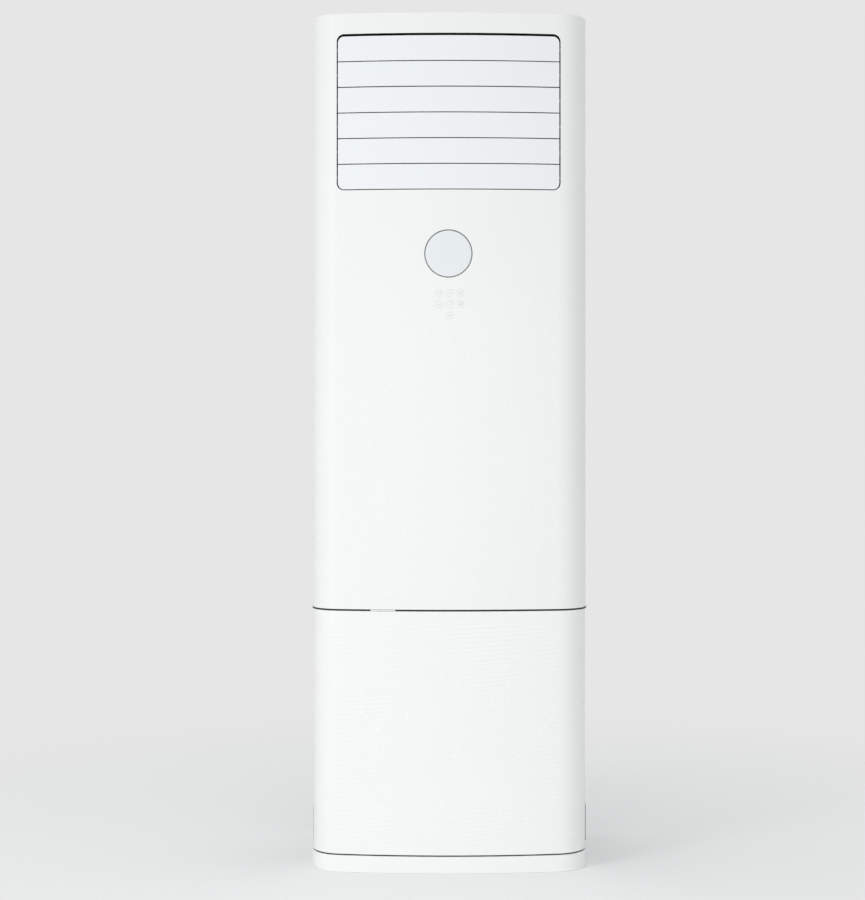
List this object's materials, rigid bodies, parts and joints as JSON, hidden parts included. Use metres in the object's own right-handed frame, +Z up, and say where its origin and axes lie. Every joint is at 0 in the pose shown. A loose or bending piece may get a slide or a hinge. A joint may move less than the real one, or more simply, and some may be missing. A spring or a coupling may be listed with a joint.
{
  "type": "floor standing air conditioner",
  "caption": "Tall white floor standing air conditioner with tilting front louvres over upright vanes, a round display with keys, side intakes, and a coil and blower inside.",
  "frame": {"origin": "on the floor under the middle of the cabinet's box", "axes": "+Z up, the front with the louvres faces -Y, +X to the right as seen from the front"},
  "size_m": [0.603, 0.39, 1.86],
  "materials": {
    "front_panel": "gloss",
    "lower_panel": "satin",
    "plinth": "satin",
    "casing": "satin",
    "pipe_cover": "satin",
    "seam_strip": "satin",
    "louvre": "gloss",
    "vane": "satin",
    "duct": "matte",
    "link": "matte",
    "drain_pan": "matte",
    "key": "satin",
    "display": "gloss",
    "circuit_board": "satin",
    "terminal": "matte",
    "galvanised": "satin",
    "motor": "satin",
    "coil": "satin",
    "copper": "satin",
    "foam": "matte",
    "wheel": "satin",
    "grille": "satin",
    "filter": "matte"
  },
  "bodies": {
    "cabinet": {"base_plinth": "plinth", "seam_strip": "seam_strip", "fan_deck": "galvanised", "left_side_panel": "casing", "right_side_panel": "casing", "pipe_cover_left": "pipe_cover", "pipe_cover_right": "pipe_cover", "rear_panel": "casing", "top_cover": "casing", "wall_bracket": "galvanised", "upper_front_panel": "front_panel", "display_window": "display", "display_board": "circuit_board", "outlet_duct": "duct", "louvre_motor": "galvanised", "vane_motor": "galvanised", "front_plate": "foam", "drain_pan": "drain_pan", "evaporator_coil": "coil", "coil_end_left": "copper", "coil_end_right": "copper", "rear_air_guide": "foam", "control_box": "galvanised", "control_box_cover": "galvanised", "main_circuit_board": "circuit_board", "terminal_block": "terminal", "scroll_housing": "galvanised", "inlet_ring": "duct", "motor_bracket": "galvanised", "fan_motor": "motor"},
    "lower_panel": {"lower_front_panel": "lower_panel"},
    "key_1": {"key_1": "key"},
    "key_2": {"key_2": "key"},
    "key_3": {"key_3": "key"},
    "key_4": {"key_4": "key"},
    "key_5": {"key_5": "key"},
    "key_6": {"key_6": "key"},
    "key_7": {"key_7": "key"},
    "louvre_1": {"louvre_1": "louvre"},
    "louvre_2": {"louvre_2": "louvre"},
    "louvre_3": {"louvre_3": "louvre"},
    "louvre_4": {"louvre_4": "louvre"},
    "louvre_5": {"louvre_5": "louvre"},
    "louvre_6": {"louvre_6": "louvre"},
    "louvre_link": {"louvre_link_bar": "link"},
    "louvre_crank": {"louvre_drive_crank": "link"},
    "vane_1": {"vane_1": "vane"},
    "vane_2": {"vane_2": "vane"},
    "vane_3": {"vane_3": "vane"},
    "vane_4": {"vane_4": "vane"},
    "vane_5": {"vane_5": "vane"},
    "vane_6": {"vane_6": "vane"},
    "vane_7": {"vane_7": "vane"},
    "vane_link": {"vane_link_bar": "link"},
    "fan": {"fan_wheel": "wheel", "fan_shaft": "motor"},
    "cassette_left": {"intake_grille_left": "grille", "filter_left": "filter"},
    "cassette_right": {"intake_grille_right": "grille", "filter_right": "filter"}
  },
  "joints": [
    {"name": "lower_panel_pull", "type": "slide", "parent": "cabinet", "child": "lower_panel", "axis": [0, -1, 0], "range_m": [0, 0.04]},
    {"name": "key_1_press", "type": "slide", "parent": "cabinet", "child": "key_1", "axis": [0, 1, 0], "range_m": [0, 0.0008], "stiffness_N_per_m": 600},
    {"name": "key_2_press", "type": "slide", "parent": "cabinet", "child": "key_2", "axis": [0, 1, 0], "range_m": [0, 0.0008], "stiffness_N_per_m": 600},
    {"name": "key_3_press", "type": "slide", "parent": "cabinet", "child": "key_3", "axis": [0, 1, 0], "range_m": [0, 0.0008], "stiffness_N_per_m": 600},
    {"name": "key_4_press", "type": "slide", "parent": "cabinet", "child": "key_4", "axis": [0, 1, 0], "range_m": [0, 0.0008], "stiffness_N_per_m": 600},
    {"name": "key_5_press", "type": "slide", "parent": "cabinet", "child": "key_5", "axis": [0, 1, 0], "range_m": [0, 0.0008], "stiffness_N_per_m": 600},
    {"name": "key_6_press", "type": "slide", "parent": "cabinet", "child": "key_6", "axis": [0, 1, 0], "range_m": [0, 0.0008], "stiffness_N_per_m": 600},
    {"name": "key_7_press", "type": "slide", "parent": "cabinet", "child": "key_7", "axis": [0, 1, 0], "range_m": [0, 0.0008], "stiffness_N_per_m": 600},
    {"name": "louvre_1_tilt", "type": "hinge", "parent": "cabinet", "child": "louvre_1", "pos_m": [0, -0.165, 1.78185], "axis": [-1, 0, 0], "range_deg": [0, 95]},
    {"name": "louvre_2_tilt", "type": "hinge", "parent": "cabinet", "child": "louvre_2", "pos_m": [0, -0.165, 1.72635], "axis": [-1, 0, 0], "range_deg": [0, 95]},
    {"name": "louvre_3_tilt", "type": "hinge", "parent": "cabinet", "child": "louvre_3", "pos_m": [0, -0.165, 1.67085], "axis": [-1, 0, 0], "range_deg": [0, 95]},
    {"name": "louvre_4_tilt", "type": "hinge", "parent": "cabinet", "child": "louvre_4", "pos_m": [0, -0.165, 1.61535], "axis": [-1, 0, 0], "range_deg": [0, 95]},
    {"name": "louvre_5_tilt", "type": "hinge", "parent": "cabinet", "child": "louvre_5", "pos_m": [0, -0.165, 1.55985], "axis": [-1, 0, 0], "range_deg": [0, 95]},
    {"name": "louvre_6_tilt", "type": "hinge", "parent": "cabinet", "child": "louvre_6", "pos_m": [0, -0.165, 1.50435], "axis": [-1, 0, 0], "range_deg": [0, 95]},
    {"name": "louvre_link_turn", "type": "hinge", "parent": "louvre_1", "child": "louvre_link", "pos_m": [0.25185, -0.155, 1.78185], "axis": [-1, 0, 0], "range_deg": [-95, 0]},
    {"name": "louvre_crank_turn", "type": "hinge", "parent": "cabinet", "child": "louvre_crank", "pos_m": [0.25515, -0.115, 1.6431], "axis": [-1, 0, 0], "range_deg": [0, 95]},
    {"name": "vane_1_swing", "type": "hinge", "parent": "cabinet", "child": "vane_1", "pos_m": [-0.198, -0.1, 1.64475], "axis": [0, 0, 1], "range_deg": [-35, 35]},
    {"name": "vane_2_swing", "type": "hinge", "parent": "cabinet", "child": "vane_2", "pos_m": [-0.132, -0.1, 1.64475], "axis": [0, 0, 1], "range_deg": [-35, 35]},
    {"name": "vane_3_swing", "type": "hinge", "parent": "cabinet", "child": "vane_3", "pos_m": [-0.066, -0.1, 1.64475], "axis": [0, 0, 1], "range_deg": [-35, 35]},
    {"name": "vane_4_swing", "type": "hinge", "parent": "cabinet", "child": "vane_4", "pos_m": [0, -0.1, 1.64475], "axis": [0, 0, 1], "range_deg": [-35, 35]},
    {"name": "vane_5_swing", "type": "hinge", "parent": "cabinet", "child": "vane_5", "pos_m": [0.066, -0.1, 1.64475], "axis": [0, 0, 1], "range_deg": [-35, 35]},
    {"name": "vane_6_swing", "type": "hinge", "parent": "cabinet", "child": "vane_6", "pos_m": [0.132, -0.1, 1.64475], "axis": [0, 0, 1], "range_deg": [-35, 35]},
    {"name": "vane_7_swing", "type": "hinge", "parent": "cabinet", "child": "vane_7", "pos_m": [0.198, -0.1, 1.64475], "axis": [0, 0, 1], "range_deg": [-35, 35]},
    {"name": "vane_link_turn", "type": "hinge", "parent": "vane_4", "child": "vane_link", "pos_m": [0, -0.076, 1.525], "axis": [0, 0, 1], "range_deg": [-35, 35]},
    {"name": "fan_spin", "type": "hinge", "parent": "cabinet", "child": "fan", "pos_m": [-0.022, 0.08, 0.285], "axis": [0, 1, 0], "continuous": true},
    {"name": "cassette_left_slide", "type": "slide", "parent": "cabinet", "child": "cassette_left", "axis": [-1, 0, 0], "range_m": [0, 0.04]},
    {"name": "cassette_right_slide", "type": "slide", "parent": "cabinet", "child": "cassette_right", "axis": [1, 0, 0], "range_m": [0, 0.04]}
  ],
  "couplings": [
    {"joint": "louvre_2_tilt", "follows": "louvre_1_tilt", "ratio": 1},
    {"joint": "louvre_3_tilt", "follows": "louvre_1_tilt", "ratio": 1},
    {"joint": "louvre_4_tilt", "follows": "louvre_1_tilt", "ratio": 1},
    {"joint": "louvre_5_tilt", "follows": "louvre_1_tilt", "ratio": 1},
    {"joint": "louvre_6_tilt", "follows": "louvre_1_tilt", "ratio": 1},
    {"joint": "louvre_link_turn", "follows": "louvre_1_tilt", "ratio": -1},
    {"joint": "louvre_crank_turn", "follows": "louvre_1_tilt", "ratio": 1},
    {"joint": "vane_1_swing", "follows": "vane_4_swing", "ratio": 1},
    {"joint": "vane_2_swing", "follows": "vane_4_swing", "ratio": 1},
    {"joint": "vane_3_swing", "follows": "vane_4_swing", "ratio": 1},
    {"joint": "vane_5_swing", "follows": "vane_4_swing", "ratio": 1},
    {"joint": "vane_6_swing", "follows": "vane_4_swing", "ratio": 1},
    {"joint": "vane_7_swing", "follows": "vane_4_swing", "ratio": 1},
    {"joint": "vane_link_turn", "follows": "vane_4_swing", "ratio": -1}
  ]
}
